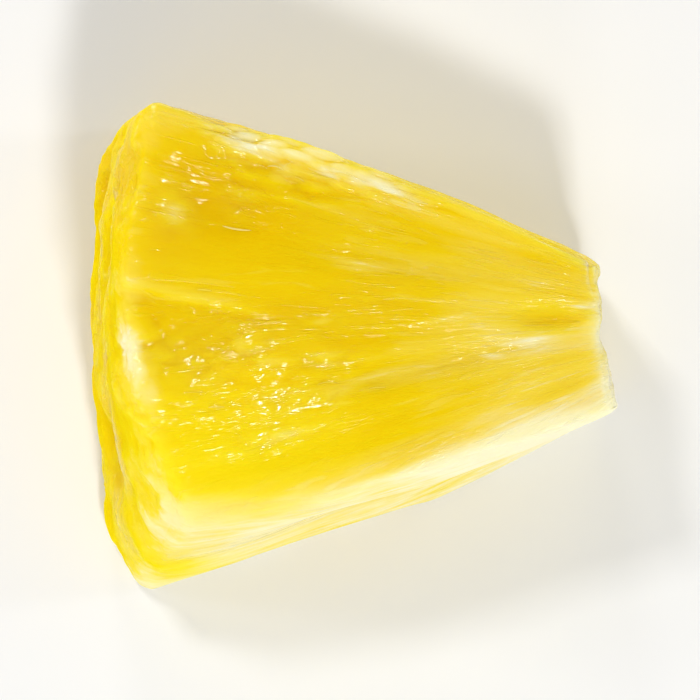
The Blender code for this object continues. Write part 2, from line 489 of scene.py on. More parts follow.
# %% [markdown]
# ## Streaks
#
# Some fibres stand out one by one, long, thin and pale. Several lie where wet ridges glint, so their
# paleness is partly a painted highlight. Each is a spot that is drawn out along the fibres. Noise sets
# it wandering, because a straight one would look ruled.

# %% Draw the streaks
# A streak: mm from the axis, degrees above -X, half its length in mm, and an amount.
STREAKS = (
    (29.4, 8.4, 2.6, 0.60),
    (29.8, 7.3, 2.2, 0.45),
    (32.0, -0.7, 0.9, 0.60),
    (32.1, -5.2, 2.1, 0.50),
    (27.6, -8.9, 3.6, 0.45),
    (25.8, 3.6, 1.3, 0.50),
    (22.4, -0.3, 2.2, 0.40),
    (19.1, -8.7, 0.9, 0.55),
    (15.6, -6.1, 1.2, 0.50),
    (12.2, 3.9, 0.8, 0.55),
    (18.1, 7.0, 1.9, 0.40),
    (34.7, 14.9, 2.6, 0.45),
    (36.6, -14.7, 3.6, 0.40),
    (31.2, -11.9, 1.5, 0.50),
)
STREAK_WIDTH = 0.30
STREAK_RISE = 0.10
STREAK_WANDER = (0.35, (3.0, 6.0, 6.0))
STREAK_SEED = 77


def streaks(fibre):
    """Pale single fibres on the upper cut, partly painted highlights along wet ridges: long thin bells,
    each at a distance and an angle, with half its length and its amount, that noise sets wandering."""
    depth, waves = STREAK_WANDER
    wander = depth * noise(fibre, waves, STREAK_SEED)
    wavy = fibre + wander[:, None] * (0.0, 1.0, 0.0)
    spots = {
        number: (distance, angle, THICKNESS, (half, STREAK_WIDTH, THICKNESS), amount)
        for number, (distance, angle, half, amount) in enumerate(STREAKS)
    }
    return sum_of_spots(wavy, spots)


print(len(STREAKS), "streaks")

# %% [markdown]
# ## Burst sacs, crumbs and knobs
#
# The flesh is made of small juice sacs. Where they have burst it is pebbled and wet, and glints.
# Torn edges crumble in the same way, and the peeled side swells into broad knobs. All three are
# pebbles: bumps that touch at creases, as soap bubbles on a plate do, which soft noise never gives.

# %% Burst the sacs
SACS = (0.12, (2.2, 0.95, 1.05))
SAC_SEED = 72
CRUMB_DEPTH = 0.60
CRUMB_WAVES = (2.1, 0.75, 0.80)
CRUMB_SEED = 73
NODULE_DEPTH = 0.55
NODULE_WAVES = (6.0, 2.3, 3.1)
NODULE_SEED = 62
CRUMBLY = {
    "pale spot high": (40.2, 19.4, 23.0, (2.8, 1.9, 3.0), 1.0),
    "pale spot low": (36.8, 17.3, 23.0, (3.4, 1.9, 3.0), 1.0),
    "high rim": (31.0, 19.8, 23.0, (6.0, 1.6, 3.0), 0.8),
    "torn lip": (45.8, -5.0, 23.0, (1.5, 4.5, 3.0), 1.0),
    "core edge": (11.5, 2.0, 23.0, (1.2, 3.0, 3.0), 0.5),
}
CRUMBLY_EDGES = 0.30
GLINTS = {
    "hollow": (44.4, 10.9, 23.0, (1.9, 1.5, 3.0), 1.5),
    "rim": (39.5, 13.2, 23.0, (1.6, 1.0, 3.0), 1.0),
    "high rim": (40.6, 19.3, 23.0, (1.8, 1.2, 3.0), 1.2),
    "below the ledge": (44.2, -3.2, 23.0, (1.6, 0.9, 3.0), 0.9),
    "pocket": (40.8, -5.6, 23.0, (1.7, 1.4, 3.0), 1.2),
    "pocket end": (37.3, -4.0, 23.0, (2.0, 1.6, 3.0), 1.3),
    "run": (32.0, -5.6, 23.0, (4.0, 0.9, 3.0), 1.1),
    "lower run": (34.8, -10.3, 23.0, (4.5, 1.0, 3.0), 1.3),
    "lowest run": (36.7, -14.6, 23.0, (4.5, 0.8, 3.0), 1.2),
    "rim run": (29.0, 19.6, 23.0, (4.5, 0.9, 3.0), 1.0),
    "core run": (17.5, -7.5, 23.0, (2.5, 0.9, 3.0), 0.6),
    "core end": (14.0, 8.0, 23.0, (3.0, 2.0, 3.0), 0.3),
    "peeled side low": (49.5, 7.0, 8.5, (3.0, 5.0, 1.8), 0.8),
    "peeled side high": (49.5, -7.5, 14.0, (3.0, 4.5, 1.6), 0.8),
    "peeled side corner": (50.5, -18.5, 8.0, (3.0, 2.6, 2.4), 0.7),
    "peeled side top": (48.5, 10.0, 19.5, (3.0, 5.0, 1.0), 0.7),
    "lower side": (33.0, -29.0, 13.0, (7.0, 4.0, 2.0), 0.3),
    "upper side": (36.0, 21.0, 15.0, (7.0, 4.0, 1.2), 1.0),
    "upper side middle": (27.0, 21.0, 11.0, (6.0, 4.0, 0.9), 1.0),
    "upper side low": (38.0, 21.0, 6.5, (6.0, 4.0, 1.0), 1.0),
    "upper side by the core": (19.0, 21.0, 15.5, (4.0, 4.0, 0.8), 0.8),
    "core side": (9.5, -12.0, 14.0, (3.0, 6.0, 3.0), 0.6),
}
GLINT_PEBBLES = 0.75


def pebbles(points, waves, seed):
    """Rounded bumps from 0 to 1 that touch at creases: one random point in each cell of a lattice,
    and one less the square of the distance to the nearest."""
    places = np.random.default_rng(seed).uniform(0.0, 1.0, (LATTICE, LATTICE, LATTICE, 3))
    scaled = points / np.array(waves)
    corner = np.floor(scaled).astype(int)
    nearest = np.full(len(points), 1.0)
    for step in itertools.product((-1, 0, 1), repeat=3):
        x, y, z = ((corner + step) % LATTICE).T
        away = corner + step + places[x, y, z] - scaled
        nearest = np.minimum(nearest, (away ** 2).sum(axis=1))
    return 1.0 - nearest


def nodules(fibre, normals):
    """Swollen knobs of the peeled side, from -0.5 in the creases to 0.5 on their tops."""
    knobs = pebbles(fibre, NODULE_WAVES, NODULE_SEED) - 0.5
    return knobs * np.clip(-normals[:, 0], 0.0, 1.0) ** 2


def crumbs(fibre, edge, torn):
    """Crumbled flesh, from -0.5 in its creases to 0.5 on its tops: pebbles at the named spots and
    glints, and here and there on torn edges."""
    crumbly = sum_of_spots(fibre, CRUMBLY) + GLINT_PEBBLES * sum_of_spots(fibre, GLINTS)
    crumbly = np.clip(crumbly + CRUMBLY_EDGES * edge * torn, 0.0, 1.0)
    return crumbly * (pebbles(fibre, CRUMB_WAVES, CRUMB_SEED) - 0.5)


print(len(GLINTS), "places that glint,", len(CRUMBLY), "that crumble")

# %% Put the relief together
SWELLS = (0.24, (5.5, 2.8, 3.0))
SWELL_SEED = 76
STRANDS = (0.045, (7.0, 1.05, 1.25))
RIDGE_SEED = 71
CREST_SOFTNESS = 0.04
BASE_FADE = 2.5


def fine_relief(fibre, edge, torn):
    """Torn layers, swells, ridged noise for the strands, pebbles for the sacs, and crumbs. Ridged
    noise is one less twice the softened size of noise."""
    height = torn * layers(fibre)
    depth, waves = SWELLS
    height += depth * torn * noise(fibre, waves, SWELL_SEED)
    depth, waves = STRANDS
    plain = noise(fibre, waves, RIDGE_SEED)
    height += depth * torn * (1.0 - 2.0 * np.sqrt(plain ** 2 + CREST_SOFTNESS))
    depth, waves = SACS
    height += depth * torn * pebbles(fibre, waves, SAC_SEED)
    height += CRUMB_DEPTH * crumbs(fibre, edge, torn)
    return height * np.clip(fibre[:, 0] / MEAN_RADIUS, LEAST_RELIEF, 1.0)


def relief(points, normals, unit):
    """Height of the flesh above the plain cuts, in mm, along the normal."""
    fibre = fibre_space(points)
    edge = edge_nearness(unit, CHIP_REACH)
    facing_up = np.clip(normals[:, 2], 0.0, 1.0) ** 4
    chips = 0.5 + 0.5 * noise(points, (CHIP_LENGTH,) * 3, CHIP_SEED)
    clear_of_lower_cut = smooth_step(unit[:, 1] * MEAN_WIDTH / CALM_REACH)
    torn = np.clip(torn_weight(fibre) + SIDES_TORN * (1.0 - np.abs(normals[:, 2])), 0.0, 1.0)
    torn *= CALM_TORN + (1.0 - CALM_TORN) * clear_of_lower_cut
    height = fibre_relief(fibre) + dents(fibre) + eyes(fibre) + ledge(fibre, facing_up)
    height += fine_relief(fibre, edge, torn) + NODULE_DEPTH * nodules(fibre, normals)
    height += STREAK_RISE * streaks(fibre) * facing_up
    return height - CHIP_DEPTH * chips * edge


shift = plain_normals * relief(plain_places, plain_normals, plain_unit)[:, None]
shift[:, 2] *= smooth_step(plain_places[:, 2] / BASE_FADE)
flesh_places = plain_places + shift
flesh_places[:, 2] = np.maximum(flesh_places[:, 2], 0.0)

own_middle = (flesh_places.min(axis=0) + flesh_places.max(axis=0)) / 2
node_middle = np.array((node_low + node_high) / 2) / MM
AXIS = np.array((node_middle[0] - own_middle[0], node_middle[1] - own_middle[1], 0.0))
flesh_normals, flesh_areas = normals_of(flesh_places, block_quads)
flesh_fibre = fibre_space(flesh_places)
print("fruit's axis in the frame, in mm:", np.round(AXIS, 2))

# %% [markdown]
# ## The tone of the flesh
#
# Pineapple isn't one yellow. Torn and raised fibres are pale, almost cream, where air lies between
# them. Hollows are deep and golden, and their depth is partly painted shade. One number at each
# point says where on that scale it is, from -1 for cream to 1 for deep gold, and the finish turns
# it into colour. Some of that number is painted light and shade: highlights and glints, shade in
# the hollows, below the ledge and on the upper and peeled sides, and light at the edges, on the
# lower cut and on the strands. The tone could be painted by hand, but named spots and the same
# shapes as the relief's are easier to change.

# %% Work out the tone
TONES = {
    # The deep tones in the hollows are partly painted shade.
    "upper hollow": (41.0, 11.5, 23.0, (6.5, 4.6, 4.0), 0.85),
    "glossy oval": (38.5, -16.0, 23.0, (8.0, 4.0, 4.0), 0.25),
    "notch by the core": (14.6, -0.5, 23.0, (3.6, 2.6, 3.0), 0.15),
    "wet pocket": (40.5, -5.5, 23.0, (6.0, 3.5, 3.0), 0.50),
    "smooth ground": (40.5, 5.0, 23.0, (5.5, 2.6, 3.0), -0.48),
    # The left rim is paler as painted light through the thin edge.
    "left rim": (46.7, 9.0, 23.0, (1.3, 6.0, 2.0), -0.40),
    "middle band": (29.0, 2.0, 23.0, (8.0, 3.0, 3.0), 0.45),
    "upper band": (22.0, 14.0, 23.0, (9.0, 4.0, 4.0), -0.15),
    "lower cut by the core": (16.5, -31.0, 21.0, (8.0, 5.0, 5.0), -0.38),
    "core stretch": (17.0, -9.0, 23.0, (8.0, 6.0, 5.0), -0.35),
    # The pale spots and the lips are pale torn flesh, and partly painted highlights where they glint.
    "pale spot high": (40.4, 19.6, 23.0, (1.5, 0.8, 2.0), -0.50),
    "pale spot low": (36.8, 17.4, 23.0, (1.9, 0.8, 2.0), -0.50),
    "upper rim": (38.0, 20.6, 23.0, (7.0, 1.6, 2.0), -0.35),
    "lip high": (47.3, -2.2, 23.0, (0.9, 1.3, 2.0), -1.00),
    "torn lip": (46.2, -5.0, 23.0, (0.9, 1.8, 2.0), -1.20),
    "lip low": (45.2, -7.8, 23.0, (0.9, 1.5, 2.0), -0.90),
    "peeled corner": (47.5, -16.5, 21.5, (2.6, 5.5, 4.0), -0.55),
    "corner spot": (48.6, -22.6, 11.5, (2.8, 2.8, 5.0), 0.80),
    "lower side low": (37.0, -28.0, 4.0, (12.0, 8.0, 6.0), 0.50),
    "lower side by the core": (21.0, -30.0, 9.0, (7.0, 8.0, 3.5), 0.40),
    "lower side middle": (31.0, -28.0, 11.5, (9.0, 8.0, 3.0), 0.35),
}
PIT_TONE = 0.40
SLIT_TONE = 0.60
LIP_TONE = -0.60
NODULE_TONE = -1.00
CRUMB_TONE = -0.55
# Painted light at the ledge: a painted highlight along its crest and painted shade just below it.
CREST_PAINTED_HIGHLIGHT = -0.38
CREST_WIDTH = 0.40
LEDGE_PAINTED_SHADE = 0.45
LEDGE_SHADE_WIDTH = 1.30
# Painted light along the edges: paler where light would shine through thin flesh, made ragged by blotches.
RIM_PAINTED_LIGHT = -0.25
RIM_REACH = 1.6
RIM_RAGGEDNESS = 2.0
# The lower cut is pale flesh, painted paler still as light that would shine through it.
LOWER_SIDE_PALENESS_AND_LIGHT = -0.76
LOWER_SIDE_REACH = 3.4
# Painted shade: the peeled and upper sides are deepened to the colour flesh takes in shade.
PEELED_SIDE_PAINTED_SHADE = 0.72
UPPER_SIDE_PAINTED_SHADE = 0.28
CORE_TONE = -0.48
# Painted highlights: pale dashes along the fibres where the flesh glints.
PAINTED_GLINT_TONE = -0.90
PAINTED_GLINT_WAVES = (2.6, 0.75, 0.80)
PAINTED_GLINT_SHARE = 0.1
PAINTED_GLINT_SEED = 94
PATCHES = (0.28, (14.0, 5.0, 6.0))
BLOTCHES = (0.24, (5.0, 2.4, 2.6))
PATCHY = {"top": 1.0, "lower": 0.55, "upper": 0.9, "peeled": 1.0, "core": 0.4}
TONE_SEED = 91


def on_each_side(amounts, normals):
    """Amounts for the five sides that show, blended by the squares of the normal's parts, which add
    up to one."""
    x, y, z = (normals ** 2).T
    total = amounts["top"] * z
    total += np.where(normals[:, 0] > 0.0, amounts["core"], amounts["peeled"]) * x
    return total + np.where(normals[:, 1] > 0.0, amounts["upper"], amounts["lower"]) * y


def tone_of(fibre, normals, unit):
    """Sum of the named spots, pale dashes painted as glints where the flesh glints, pale streaks that
    are partly painted highlights, pale nodules, a deep slit between pale lips at each eye, a painted
    highlight on the ledge's crest with painted shade below it, a ragged rim of painted light along
    the edges, a pale lower cut, paler still with painted light, that fades out over the edge on to
    the top, upper and peeled sides deepened as painted shade, a paler core side, and two sizes of
    patches along the fibres."""
    patchy = on_each_side(PATCHY, normals)
    patches, blotches = (
        depth * noise(fibre, waves, TONE_SEED + number) * patchy
        for number, (depth, waves) in enumerate((PATCHES, BLOTCHES))
    )
    tone = patches + blotches + sum_of_spots(fibre, TONES)
    facing_up = np.clip(normals[:, 2], 0.0, 1.0)
    # Painted glints: paler dashes where the juice glints.
    painted_glints = np.clip(noise(fibre, PAINTED_GLINT_WAVES, PAINTED_GLINT_SEED) + PAINTED_GLINT_SHARE, 0.0, 1.0)
    tone += PAINTED_GLINT_TONE * painted_glints * np.clip(sum_of_spots(fibre, GLINTS), 0.0, 1.0)
    # Streaks paler on the top: pale fibres, and partly painted highlights.
    tone -= streaks(fibre) * facing_up
    tone += NODULE_TONE * nodules(fibre, normals)
    tone += CRUMB_TONE * crumbs(fibre, edge_nearness(unit, CHIP_REACH), torn_weight(fibre))
    for name in EYE_FORMS:
        slit, lips = eye_slit(fibre, name)
        tone += PIT_TONE * bell(fibre, *DENTS[name][:4])[1] + SLIT_TONE * slit + LIP_TONE * lips
    behind, run = ledge_place(fibre)
    run = run * facing_up
    # Painted highlight on the ledge's crest, painted shade below it.
    tone += CREST_PAINTED_HIGHLIGHT * run * np.exp(-((behind / CREST_WIDTH - 1.0) ** 2))
    tone += LEDGE_PAINTED_SHADE * run * np.exp(-((behind / LEDGE_SHADE_WIDTH + 1.0) ** 2))
    # Painted light along the edges.
    tone += RIM_PAINTED_LIGHT * edge_nearness(unit, RIM_REACH) * (1.0 + RIM_RAGGEDNESS * blotches)
    # Painted shade on the peeled and upper sides.
    tone += PEELED_SIDE_PAINTED_SHADE * np.clip(-normals[:, 0], 0.0, 1.0) ** 2
    tone += CORE_TONE * np.clip(normals[:, 0], 0.0, 1.0) ** 2
    tone += UPPER_SIDE_PAINTED_SHADE * np.clip(normals[:, 1], 0.0, 1.0) ** 2
    # Pale lower cut: pale flesh and painted light.
    from_lower_side = unit[:, 1] * MEAN_WIDTH
    return tone + LOWER_SIDE_PALENESS_AND_LIGHT * np.exp(-((from_lower_side / LOWER_SIDE_REACH) ** 2))


flesh_tone = tone_of(flesh_fibre, flesh_normals, plain_unit)
print("tone from", round(flesh_tone.min(), 2), "to", round(flesh_tone.max(), 2))

# %% [markdown]
# ## Juice, glow and brown
#
# Three more numbers at each point help the colour and the gloss. Juice lies on the flesh as a thin
# film in patches, and fully where it glints. A lemon glow is painted light: it stands for light
# that comes through thin or hollowed flesh. And the slits of the eyes are brown. Each is noise or a
# sum of spots, as above.

# %% Spread the juice
FILM = (0.7, (9.0, 3.6, 4.0))
FILM_SEED = 93
FILM_LEVELS = {"top": 0.12, "lower": -0.15, "upper": 0.65, "peeled": -0.05, "core": 0.15}
FULLEST_FILM = 0.9
BARE = {
    "glossy oval": (38.5, -17.5, 23.0, (7.0, 3.0, 4.0), 0.9),
    "upper hollow": (40.5, 11.0, 23.0, (5.0, 4.0, 4.0), 0.8),
    "upper band": (20.0, 14.0, 23.0, (9.0, 5.0, 4.0), 0.8),
    "core stretch": (17.0, -9.0, 23.0, (8.0, 6.0, 5.0), 0.6),
}


def wet_of(fibre, normals):
    """How much juice stands on the flesh: a thin film in patches, more on some sides, none at the
    bare spots, and a full film where it glints."""
    depth, waves = FILM
    film = on_each_side(FILM_LEVELS, normals) + depth * noise(fibre, waves, FILM_SEED)
    film = np.clip(film, 0.0, 1.0) * np.clip(1.0 - sum_of_spots(fibre, BARE), 0.0, 1.0)
    return np.clip(film + sum_of_spots(fibre, GLINTS), 0.0, FULLEST_FILM)


flesh_wet = wet_of(flesh_fibre, flesh_normals)
print("wet, on the whole:", round(float(flesh_wet.mean()), 2))

# %% Colour the eyes and the glow
SLIT_BROWN = 0.50
PIT_BROWN = 0.20
PIT_SHARPNESS = 3
# Painted light: lemon mixed into the colour where light would shine through the flesh.
GLOW = {
    "glossy oval": (38.5, -16.5, 23.0, (9.0, 5.0, 6.0), 0.9),
    "corner": (47.5, -23.0, 8.0, (5.0, 5.0, 9.0), 0.7),
    "lip": (44.0, -9.0, 23.0, (4.0, 5.0, 5.0), 0.4),
    "notch by the core": (14.6, -0.5, 23.0, (3.0, 2.0, 3.0), 0.7),
}


def brown_of(fibre):
    """How much of the brown of a cut eye is at each point: its slit, and a little of its pit."""
    total = np.zeros(len(fibre))
    for name in EYE_FORMS:
        pit = bell(fibre, *DENTS[name][:4])[1] ** PIT_SHARPNESS
        total += SLIT_BROWN * eye_slit(fibre, name)[0] + PIT_BROWN * pit
    return np.clip(total, 0.0, 1.0)


flesh_brown = brown_of(flesh_fibre)
flesh_glow = np.clip(sum_of_spots(flesh_fibre, GLOW), 0.0, 1.0)
print("brown up to", round(flesh_brown.max(), 2), "and glow up to", round(flesh_glow.max(), 2))

# %% [markdown]
# ## How strong each pattern is
#
# The finish draws fibres too fine for a mesh. They show more on some sides than on others, and blur
# into each other towards the core. Three numbers at each point set them: bundled for the broad
# patterns, stringy for the fine ones, and rippled for the film of juice.

# %% Set the patterns' strength
BUNDLED = {"top": 0.9, "lower": 0.60, "upper": 1.1, "peeled": 1.2, "core": 0.30}
STRINGY = {"top": 0.25, "lower": 0.55, "upper": 0.50, "peeled": 0.55, "core": 0.25}
RIPPLED = {"top": 0.4, "lower": 3.0, "upper": 5.0, "peeled": 4.0, "core": 3.5}

flesh_looks = {
    "tone": flesh_tone,
    "brown": flesh_brown,
    "wet": flesh_wet,
    "glow": flesh_glow,
    "bundled": on_each_side(BUNDLED, flesh_normals),
    "stringy": on_each_side(STRINGY, flesh_normals) * smooth_step(flesh_fibre[:, 0] / MEAN_RADIUS),
    "rippled": on_each_side(RIPPLED, flesh_normals),
}
for label, values in flesh_looks.items():
    print(label, "from", round(values.min(), 2), "to", round(values.max(), 2))

# %% [markdown]
# ## Putting arrays into a mesh
#
# The arrays become a mesh in one call. The chunk is smooth-shaded, since its relief is finer than its
# faces are wide, and carries the numbers above as attributes of its points.

# %% Make the flesh


def make_piece(name, places, faces, attributes):
    """Object at the origin from points in mm round the fruit's axis, faces, and named numbers at
    each point."""
    mesh = bpy.data.meshes.new(name)
    mesh.from_pydata((places + AXIS) * MM, (), faces)
    mesh.shade_smooth()
    for label, values in attributes.items():
        layer = mesh.attributes.new(label, "FLOAT", "POINT")
        layer.data.foreach_set("value", values.astype(np.float32))
    piece = bpy.data.objects.new(name, mesh)
    bpy.context.scene.collection.objects.link(piece)
    print(f"{name}: {len(places)} points, {len(faces)} faces")
    return piece


flesh = make_piece("pineapple_flesh", flesh_places, block_quads, flesh_looks)
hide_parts(NODE)
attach(flesh, "root")

# %% [markdown]
# ## Loose strands
#
# Here and there a strand has let go of the cut. It stays caught at both ends and arches a little over
# the flesh between them. It is paler than the flesh, partly as painted light: a strand is too thin to
# scatter light below its surface as the chunk does, and is painted lighter to match. A strand could be
# a curve with a round bevel, but that is as thick at its ends as in its middle. So it is a closed body
# round a path, wide and high by its own amounts, that comes to a point at both ends. It starts at a
# point of the flesh that is drawn by chance, more often near the named spots, and its path follows the
# flesh.

# %% Shape closed bodies along paths


def closed_bodies(paths, ups, widths, heights, sides):
    """Bodies round paths of points, one row for each body. The rings are ellipses across the path,
    width cos(a) to the side and height sin(a) upwards, and the first and last point are poles."""
    bodies, count = paths.shape[:2]
    along = np.gradient(paths, axis=1)
    along /= np.linalg.norm(along, axis=2, keepdims=True)
    across = np.cross(ups, along)
    across /= np.linalg.norm(across, axis=2, keepdims=True)
    rise = np.cross(along, across)
    turn = np.arange(sides) * 2 * math.pi / sides
    ring = across[:, 1:-1, None] * widths[:, 1:-1, None, None] * np.cos(turn)[:, None]
    ring = ring + rise[:, 1:-1, None] * heights[:, 1:-1, None, None] * np.sin(turn)[:, None]
    ring = (paths[:, 1:-1, None] + ring).reshape(bodies, -1, 3)
    points = np.concatenate((ring, paths[:, :1], paths[:, -1:]), axis=1)
    index = np.arange((count - 2) * sides).reshape(count - 2, sides)
    after = np.roll(index, -1, axis=1)
    first = np.full(sides, index.size)
    quads = np.stack((index[:-1], after[:-1], after[1:], index[1:]), axis=-1).reshape(-1, 4)
    caps = np.concatenate((
        np.stack((first, after[0], index[0]), axis=-1),
        np.stack((first + 1, index[-1], after[-1]), axis=-1),
    ))
    start = (np.arange(bodies) * points.shape[1])[:, None, None]
    faces = (quads + start).reshape(-1, 4).tolist() + (caps + start).reshape(-1, 3).tolist()
    return points.reshape(-1, 3), faces


# %% Find places on the flesh
HAIR = 1e-6


def drawn_points(spots, count, rng, allowed):
    """Numbers of flesh points drawn by chance. The chance is the area round the point times the sum
    of the spots' bells."""
    weight = sum_of_spots(flesh_fibre, spots) * flesh_areas * allowed
    return rng.choice(len(flesh_places), size=count, p=weight / weight.sum())


def on_side(side, unit):
    """Places and normals of the flesh at block coordinates on one side, blended between the four
    grid points round each."""
    rows, columns = (side[0] + 1) % 3, (side[0] + 2) % 3
    i, j = (
        np.clip(np.interp(unit[..., k], grid_lines(CELLS[k]), np.arange(CELLS[k] + 1)), 0, CELLS[k] - HAIR)
        for k in (rows, columns)
    )
    low_i, low_j = i.astype(int), j.astype(int)
    part_i, part_j = (i - low_i)[..., None], (j - low_j)[..., None]
    blended = []
    for values in (flesh_places, flesh_normals):
        field = values[side_grids[side]]
        near = field[low_i, low_j] * (1 - part_j) + field[low_i, low_j + 1] * part_j
        far = field[low_i + 1, low_j] * (1 - part_j) + field[low_i + 1, low_j + 1] * part_j
        blended.append(near * (1 - part_i) + far * part_i)
    return blended


# %% Lay the strands
STRAND_SPOTS = {
    "upper rim": (38.0, 19.0, 23.0, (9.0, 3.0, 4.0), 1.0),
    "torn lip": (44.8, -5.0, 23.0, (2.4, 5.0, 3.0), 1.0),
    "glint field": (35.0, -6.0, 23.0, (9.0, 6.0, 4.0), 0.8),
}
STRAND_COUNT = 16
STRAND_LENGTHS = (0.8, 2.4)
STRAND_THICKNESS = (0.04, 0.09)
STRAND_LIFTS = (-0.05, 0.03)
STRAND_WANDER = 0.14
STRAND_RINGS = 8
STRAND_SIDES = 5
# Strand tones are pale, partly painted light for the light that a strand too thin to scatter misses.
STRAND_PALENESS_AND_LIGHT = (-0.60, -0.25)
STRAND_FLATNESS = 0.45
STRAND_SEED = 101
GAP_FROM_EDGE = 0.012
TOP_SIDE = (2, 1)


def strand_paths(unit, lengths, lifts, bends):
    """Paths along the fibres on the upper cut, from points of the block. Each runs its length
    towards the core and wanders like half a wave across; its height above the flesh is a half
    sine."""
    t = np.linspace(0.0, 1.0, STRAND_RINGS + 2)
    path = np.repeat(unit[:, None], len(t), axis=1)
    path[..., 0] += (t - 0.5) * lengths[:, None] / MEAN_LENGTH
    path[..., 1] += bends[:, None] * np.sin(math.pi * t) / MEAN_WIDTH
    path = np.clip(path, GAP_FROM_EDGE, 1.0 - GAP_FROM_EDGE)
    places, normals = on_side(TOP_SIDE, path)
    return places + normals * (lifts[:, None] * np.sin(math.pi * t))[..., None], normals


def lay_strands():
    """All strands as one piece. A strand's thickness is a half ellipse along its length."""
    rng = np.random.default_rng(STRAND_SEED)
    t = np.linspace(0.0, 1.0, STRAND_RINGS + 2)
    profile = np.sqrt(np.clip(4.0 * t * (1.0 - t), 0.0, 1.0))
    on_top = np.abs(block_points[:, TOP_SIDE[0]] - TOP_SIDE[1]) < HAIR
    starts = drawn_points(STRAND_SPOTS, STRAND_COUNT, rng, on_top)
    lengths = rng.uniform(*STRAND_LENGTHS, STRAND_COUNT)
    bends = rng.normal(0.0, STRAND_WANDER, STRAND_COUNT)
    lifts = rng.uniform(*STRAND_LIFTS, STRAND_COUNT)
    paths, ups = strand_paths(block_points[starts], lengths, lifts, bends)
    thickness = rng.uniform(*STRAND_THICKNESS, STRAND_COUNT)[:, None] * profile
    points, faces = closed_bodies(paths, ups, thickness, thickness * STRAND_FLATNESS, STRAND_SIDES)
    tones = np.repeat(rng.uniform(*STRAND_PALENESS_AND_LIGHT, STRAND_COUNT), len(points) // STRAND_COUNT)
    nothing = np.zeros(len(points))
    return make_piece("loose_strands", points, faces, {"tone": tones, "bundled": nothing})


strands = lay_strands()
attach(strands, "root")

# %% [markdown]
# ## A way to write materials
#
# A material is a sum of patterns, and sums are easiest to read as arithmetic. This class wraps a
# node's output so that + - * / and ** on it add the Math nodes they stand for. Every other node
# comes from one method, which takes its type, its settings and what goes into its sockets.

# %% Wrap the nodes


class Signal:
    """A node's output that can be used like a number."""

    def __init__(self, socket):
        self.socket = socket

    def maths(self, operation, *terms):
        """A Math node on the given terms, signals or plain numbers."""
        recipe = Recipe(self.socket.id_data)
        return recipe.node("ShaderNodeMath", {"operation": operation}, dict(enumerate(terms)))

    def __add__(self, other):
        return self.maths("ADD", self, other)

    def __sub__(self, other):
        return self.maths("SUBTRACT", self, other)

    def __rsub__(self, other):
        return self.maths("SUBTRACT", other, self)

    def __mul__(self, other):
        return self.maths("MULTIPLY", self, other)

    def __truediv__(self, other):
        return self.maths("DIVIDE", self, other)

    def __pow__(self, other):
        return self.maths("POWER", self, other)

    def __abs__(self):
        return self.maths("ABSOLUTE", self)

    __radd__ = __add__
    __rmul__ = __mul__


class Recipe:
    """A material's node tree."""

    def __init__(self, tree):
        self.tree = tree

    def node(self, kind, settings=None, inputs=None, output=0):
        """Adds a node of this kind, sets it up, fills its sockets and returns one output."""
        node = self.tree.nodes.new(kind)
        for name, value in (settings or {}).items():
            if name == "stops":
                self.set_stops(node.color_ramp.elements, value)
            else:
                setattr(node, name, value)
        for key, value in (inputs or {}).items():
            self.fill(node.inputs[key], value)
        return Signal(node.outputs[output])

    def set_stops(self, elements, stops):
        """Places a ramp's stops, each a position and a colour."""
        while len(elements) < len(stops):
            elements.new(0.5)
        for element, (position, colour) in zip(elements, stops):
            element.position = position
            element.color = (*colour, 1.0)

    def fill(self, socket, value):
        """Links a signal to a socket, or sets the socket to a plain value."""
        if isinstance(value, Signal):
            self.tree.links.new(value.socket, socket)
        else:
            socket.default_value = value

    def scaled_noise(self, vector, waves, detail, distortion):
        """Noise from 0 to 1 whose waves have the given length along each coordinate."""
        stretch = tuple(1.0 / wave for wave in waves)
        places = self.node("ShaderNodeVectorMath", {"operation": "MULTIPLY"}, {0: vector, 1: stretch})
        inputs = {"Vector": places, "Scale": 1.0, "Detail": detail, "Distortion": distortion}
        return self.node("ShaderNodeTexNoise", {}, inputs)


def new_material(name):
    """An empty material, its recipe and its Principled shader."""
    material = bpy.data.materials.new(name)
    material.use_nodes = True
    return material, Recipe(material.node_tree), material.node_tree.nodes["Principled BSDF"]


# %% [markdown]
# ## The patterns of the flesh
#
# Fibres too fine for the mesh are drawn by noise that is stretched along them, in the coordinates
# that they follow. Each kind has its own length, thickness and detail: bundles, strings, threads,
# veins, sacs, grain, and the ripples of the juice. An image could hold them, but it would need a
# flat map of a block with six sides, and would show its pixels close by.

# %% Draw the patterns
# A pattern: its waves along the three fibre coordinates in mm, its detail and its distortion.
PATTERNS = {
    "veins": ((16.0, 0.85, 0.95), 2.0, 0.0),
    "bundles": ((24.0, 2.4, 3.0), 1.5, 0.0),
    "threads": ((4.5, 0.50, 0.55), 1.0, 0.8),
    "sacs": ((2.6, 0.55, 0.6), 2.0, 0.0),
    "grain": ((0.9, 0.28, 0.3), 2.0, 0.0),
    "strings": ((13.0, 0.80, 0.90), 2.5, 0.0),
    "swells": ((3.2, 1.3, 1.4), 1.0, 0.0),
}
THREAD_SPAN = (0.52, 0.72)
VEIN_SHARPNESS = 3.0


def fibre_coordinates(recipe):
    """The fibres' coordinates, in mm, from the object's own: distance from the fruit's axis, angle
    above -X times the mean radius, height less the climb."""
    place = recipe.node("ShaderNodeTexCoord", output="Object")
    separate = recipe.node("ShaderNodeSeparateXYZ", {}, {0: place}).socket.node.outputs
    x, y, z = (Signal(separate[k]) / MM - float(AXIS[k]) for k in range(3))
    distance = (x * x + y * y) ** 0.5
    arc = x.maths("ARCTAN2", y, 0.0 - x) * MEAN_RADIUS
    rise = z - (distance - MEAN_RADIUS) * FIBRE_CLIMB
    return recipe.node("ShaderNodeCombineXYZ", {}, {0: distance, 1: arc, 2: rise})


